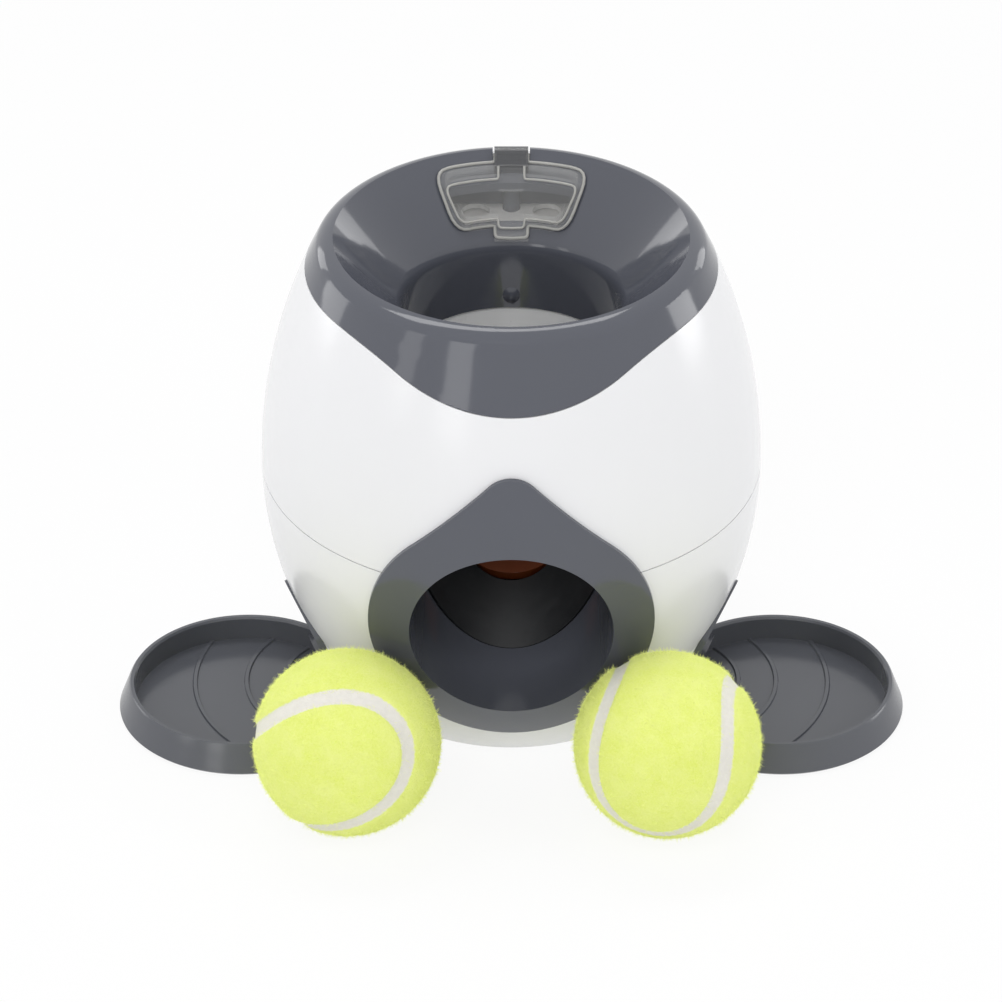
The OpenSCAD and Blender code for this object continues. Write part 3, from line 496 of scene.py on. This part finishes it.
def fuzz_tree(fuzz_mat):
    """Fibres spread over the ball: each a thin tapered strip, bent and tilted by chance."""
    tree = bpy.data.node_groups.new("felt_fibres", "GeometryNodeTree")
    face = tree.interface
    face.new_socket("Geometry", in_out="INPUT", socket_type="NodeSocketGeometry")
    for socket, value in FIBRE_SIZES.items():
        s = face.new_socket(socket, in_out="INPUT", socket_type="NodeSocketFloat")
        s.default_value = value
    seed = face.new_socket("Seed", in_out="INPUT", socket_type="NodeSocketInt")
    seed.default_value = 1
    face.new_socket("Geometry", in_out="OUTPUT", socket_type="NodeSocketGeometry")
    new, link = tree.nodes.new, tree.links.new
    given, out = new("NodeGroupInput"), new("NodeGroupOutput")

    def maths(op, a, b=None):
        n = new("ShaderNodeMath")
        n.operation = op
        for i, v in enumerate((a, b)):
            if v is None:
                continue
            if isinstance(v, float):
                n.inputs[i].default_value = v
            else:
                link(v, n.inputs[i])
        return n.outputs[0]

    amount = new("GeometryNodeInputNamedAttribute")
    amount.data_type = "FLOAT"
    amount.inputs["Name"].default_value = "felt_cover"
    points = new("GeometryNodeDistributePointsOnFaces")
    link(given.outputs["Geometry"], points.inputs["Mesh"])
    link(given.outputs["Seed"], points.inputs["Seed"])
    density = maths("MULTIPLY", given.outputs["Fibres per square metre"], amount.outputs[0])
    link(density, points.inputs["Density"])

    strip = new("GeometryNodeMeshGrid")
    strip.inputs["Size X"].default_value = 1.0
    strip.inputs["Size Y"].default_value = 1.0
    strip.inputs["Vertices X"].default_value = 2
    strip.inputs["Vertices Y"].default_value = 2
    here = new("GeometryNodeInputPosition")
    parts = new("ShaderNodeSeparateXYZ")
    link(here.outputs[0], parts.inputs[0])
    along = maths("ADD", parts.outputs["Y"], 0.5)
    narrow = maths("SUBTRACT", 1.0, maths("MULTIPLY", along, 0.9))
    shape = new("ShaderNodeCombineXYZ")
    wide = maths("MULTIPLY", parts.outputs["X"], given.outputs["Width"])
    link(maths("MULTIPLY", wide, narrow), shape.inputs["X"])
    reach = maths("MULTIPLY", given.outputs["Length"], 0.6)
    link(maths("MULTIPLY", maths("MULTIPLY", along, along), reach), shape.inputs["Y"])
    link(maths("MULTIPLY", along, given.outputs["Length"]), shape.inputs["Z"])
    formed = new("GeometryNodeSetPosition")
    link(strip.outputs["Mesh"], formed.inputs["Geometry"])
    link(shape.outputs[0], formed.inputs["Position"])

    tilt = new("FunctionNodeRandomValue")
    tilt.data_type = "FLOAT_VECTOR"
    tilt.inputs[0].default_value = (-FIBRE_TILT, -FIBRE_TILT, -math.pi)
    tilt.inputs[1].default_value = (FIBRE_TILT, FIBRE_TILT, math.pi)
    link(given.outputs["Seed"], tilt.inputs["Seed"])
    turn = new("FunctionNodeEulerToRotation")
    link(tilt.outputs[0], turn.inputs[0])
    lean = new("FunctionNodeRotateRotation")
    lean.rotation_space = "LOCAL"
    link(points.outputs["Rotation"], lean.inputs["Rotation"])
    link(turn.outputs[0], lean.inputs["Rotate By"])
    size = new("FunctionNodeRandomValue")
    size.data_type = "FLOAT"
    size.inputs[2].default_value = 0.0
    size.inputs[3].default_value = 1.0
    link(given.outputs["Seed"], size.inputs["Seed"])
    grown = maths("ADD", 0.5, maths("MULTIPLY", maths("POWER", size.outputs[1], 7.0), 1.9))

    hairs = new("GeometryNodeInstanceOnPoints")
    link(points.outputs["Points"], hairs.inputs["Points"])
    link(formed.outputs[0], hairs.inputs["Instance"])
    link(lean.outputs[0], hairs.inputs["Rotation"])
    link(grown, hairs.inputs["Scale"])
    real = new("GeometryNodeRealizeInstances")
    link(hairs.outputs[0], real.inputs[0])
    dressed = new("GeometryNodeSetMaterial")
    dressed.inputs["Material"].default_value = fuzz_mat
    link(real.outputs[0], dressed.inputs["Geometry"])
    both = new("GeometryNodeJoinGeometry")
    link(dressed.outputs[0], both.inputs[0])
    link(given.outputs["Geometry"], both.inputs[0])
    link(both.outputs[0], out.inputs[0])
    return tree


def make_ball(name, felt_node, body, b, turn, seed, felt_mat, fuzz_mat, tree):
    """Ball with a raised felt cover and fibres; b sets the seam's curl, turn its angles in degrees."""
    low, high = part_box(felt_node)
    centre = (low + high) / 2
    bm = bmesh.new()
    bmesh.ops.create_icosphere(bm, subdivisions=6, radius=1.0)
    mesh = bpy.data.meshes.new(name)
    bm.to_mesh(mesh)
    bm.free()
    way = np.zeros(len(mesh.vertices) * 3)
    mesh.vertices.foreach_get("co", way)
    way = way.reshape(-1, 3)
    way /= np.linalg.norm(way, axis=1)[:, None]
    seam = seam_points(b, turn)
    nearest = [(part @ seam.T).max(1) for part in np.array_split(way, 40)]
    seam_mm = np.arccos(np.clip(np.concatenate(nearest), -1, 1)) * BALL_R_MM
    edge = np.clip((seam_mm - SEAM_HALF_MM) / SEAM_EDGE_MM, 0.0, 1.0)
    cover = edge * edge * (3 - 2 * edge)
    lump = sum(np.sin(way @ np.array(wave)) for wave in LUMP_WAVES) / len(LUMP_WAVES)
    shoulder = np.exp(-((seam_mm - SHOULDER_AT_MM) / SHOULDER_WIDE_MM) ** 2)
    r = SEAM_R + cover * FELT_RISE + shoulder * SHOULDER_RISE + lump * LUMP_RISE * cover
    mesh.vertices.foreach_set("co", (way * r[:, None] + np.array(centre)).ravel())
    height_mm = way[:, 2] * BALL_R_MM + BALL_R_MM
    off_floor = np.clip((height_mm - FUZZ_FROM_FLOOR_MM) / FUZZ_FADE_MM, 0.0, 1.0)
    felt_cover = (cover * 0.97 + 0.03) * off_floor
    for attribute, values in (("seam_mm", seam_mm), ("felt_cover", felt_cover)):
        data = mesh.attributes.new(attribute, "FLOAT", "POINT").data
        data.foreach_set("value", values.astype(np.float32))
    mesh.polygons.foreach_set("use_smooth", [True] * len(mesh.polygons))
    mesh.materials.append(felt_mat)
    rough = bpy.data.objects.new(name + "_rough", mesh)
    scene.collection.objects.link(rough)
    mod = rough.modifiers.new("felt_fibres", "NODES")
    mod.node_group = tree
    keys = {s.name: s.identifier for s in tree.interface.items_tree if s.in_out == "INPUT"}
    mod[keys["Seed"]] = seed
    done = bpy.data.meshes.new_from_object(rough.evaluated_get(bpy.context.evaluated_depsgraph_get()))
    rough.modifiers.clear()
    bpy.data.objects.remove(rough)
    done.name = name
    which = np.zeros(len(done.polygons), np.int32)
    done.polygons.foreach_get("material_index", which)
    nap = [m.name if m else "" for m in done.materials].index(fuzz_mat.name)
    done.materials.clear()
    done.materials.append(felt_mat)
    done.materials.append(fuzz_mat)
    done.polygons.foreach_set("material_index", (which == nap).astype(np.int32))
    ball = bpy.data.objects.new(name, done)
    scene.collection.objects.link(ball)
    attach(ball, body)
    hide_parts(felt_node)


make_camera()
make_lights()
make_world()
make_floor()

white = moulded_plastic("gloss_white_plastic", (0.82, 0.82, 0.83), 0.2, 0.000008, 0.0, 0.012)
inner_white = moulded_plastic("satin_white_plastic", (0.80, 0.80, 0.81), 0.4, 0.00002, 0.0, 0.02)
grey = moulded_plastic("gloss_slate_plastic", (0.088, 0.093, 0.113), 0.09, 0.000006, 0.0, 0.04)
tray_grey = moulded_plastic("satin_slate_plastic", (0.092, 0.096, 0.110), 0.2, 0.000004, 0.000001, 0.03)
# The ramp's slate is near black, far darker than the other slate parts: painted shade deep in the exit
# hole.
ramp_painted_shade = moulded_plastic("slate_plastic_painted_shade", (0.017, 0.018, 0.020), 0.45, 0.000004, 0.0, 0.03)
# Pale grey: partly the hopper floor's own colour, partly painted light lifting the floor that lies in
# shade under the lid.
pale_grey = moulded_plastic("pale_grey_plastic", (0.75, 0.74, 0.72), 0.35, 0.00002, 0.0, 0.04)
orange = moulded_plastic("orange_plastic", (0.25, 0.055, 0.011), 0.35, 0.00001, 0.0, 0.06)
# The chamber's white is brighter than the body's white, painted light on its shaded wall below the throat;
# its dark lower part is painted shade.
tube_plastic = tube_with_painted_shade_below("chamber_tube_painted_shade_below", (0.90, 0.90, 0.90), (0.034, 0.035, 0.039),
                                0.104, 0.30)
# The lid's faint whitish film is partly the plastic's haze and partly painted reflection on the clear
# plastic.
clear = clear_plastic("clear_lid_plastic", (0.80, 0.80, 0.78), 0.08)
# Pale, nearly opaque beads: painted highlights along the clear lid's edges.
painted_edge_highlight = clear_plastic("clear_lid_painted_highlight", (0.52, 0.515, 0.485), 0.72)
clear_hinge = clear_plastic("smoked_hinge_plastic", (0.10, 0.102, 0.108), 0.72)
steel = bright_steel("zinc_plated_steel")
rubber = soft_rubber("black_rubber", (0.02, 0.02, 0.021))
felt = ball_felt("tennis_felt")
fuzz = felt_fuzz("felt_nap")

# Each node's material and the rounding of its edges in mm
FINISHES = {
    "lower_shell": (white, 0.35),
    "upper_shell": (white, 0.35),
    "collar_funnel": (grey, 0.4),
    "hopper_floor": (pale_grey, 0.0),
    "hopper_screws": (steel, 0.0),
    "treat_lid": (clear, 0.3),
    "lid_pin": (steel, 0.0),
    "front_frame": (grey, 1.3),
    "left_outlet_frame": (grey, 0.4),
    "right_outlet_frame": (grey, 0.4),
    "ball_chamber": (tube_plastic, 0.0),
    "ball_ramp": (ramp_painted_shade, 0.3),
    "treat_slide": (inner_white, 0.0),
    "axle_cradle": (inner_white, 0.0),
    "cradle_screws": (steel, 0.0),
    "lever_axle": (steel, 0.0),
    "treadle": (orange, 0.4),
    "gate_arm": (pale_grey, 0.0),
    "return_spring": (steel, 0.0),
    "base_plate": (inner_white, 0.0),
    "foot_pads": (rubber, 0.0),
    "base_screws": (steel, 0.0),
    "left_tray": (tray_grey, 0.3),
    "right_tray": (tray_grey, 0.3),
    "left_ball_core": (rubber, 0.0),
    "right_ball_core": (rubber, 0.0),
    "left_ball_felt": (felt, 0.0),
    "right_ball_felt": (felt, 0.0),
}
for node_name, (node_mat, node_round_mm) in FINISHES.items():
    finish_node(node_name, node_mat, node_round_mm)
smoke_the_hinge(clear_hinge)

rim_line, border_line, panel_line = (lid_line(*line) for line in (RIM_LINE, BORDER_LINE, PANEL_LINE))
lid_bead("lid_rim_bead", rim_line, 0.00058, 0.0009, painted_edge_highlight)
lid_bead("lid_panel_bead", panel_line, 0.00046, 0.0023, painted_edge_highlight)
lid_flange("lid_flange", rim_line, border_line, 0.0006, 0.0012, clear)

fibres = fuzz_tree(fuzz)
make_ball("left_tennis_ball", "left_ball_felt", "left_ball",
          0.25, (40.7, 50.6, 40.6), 11, felt, fuzz, fibres)
make_ball("right_tennis_ball", "right_ball_felt", "right_ball",
          0.203, (-167.7, 7.4, 125.6), 23, felt, fuzz, fibres)
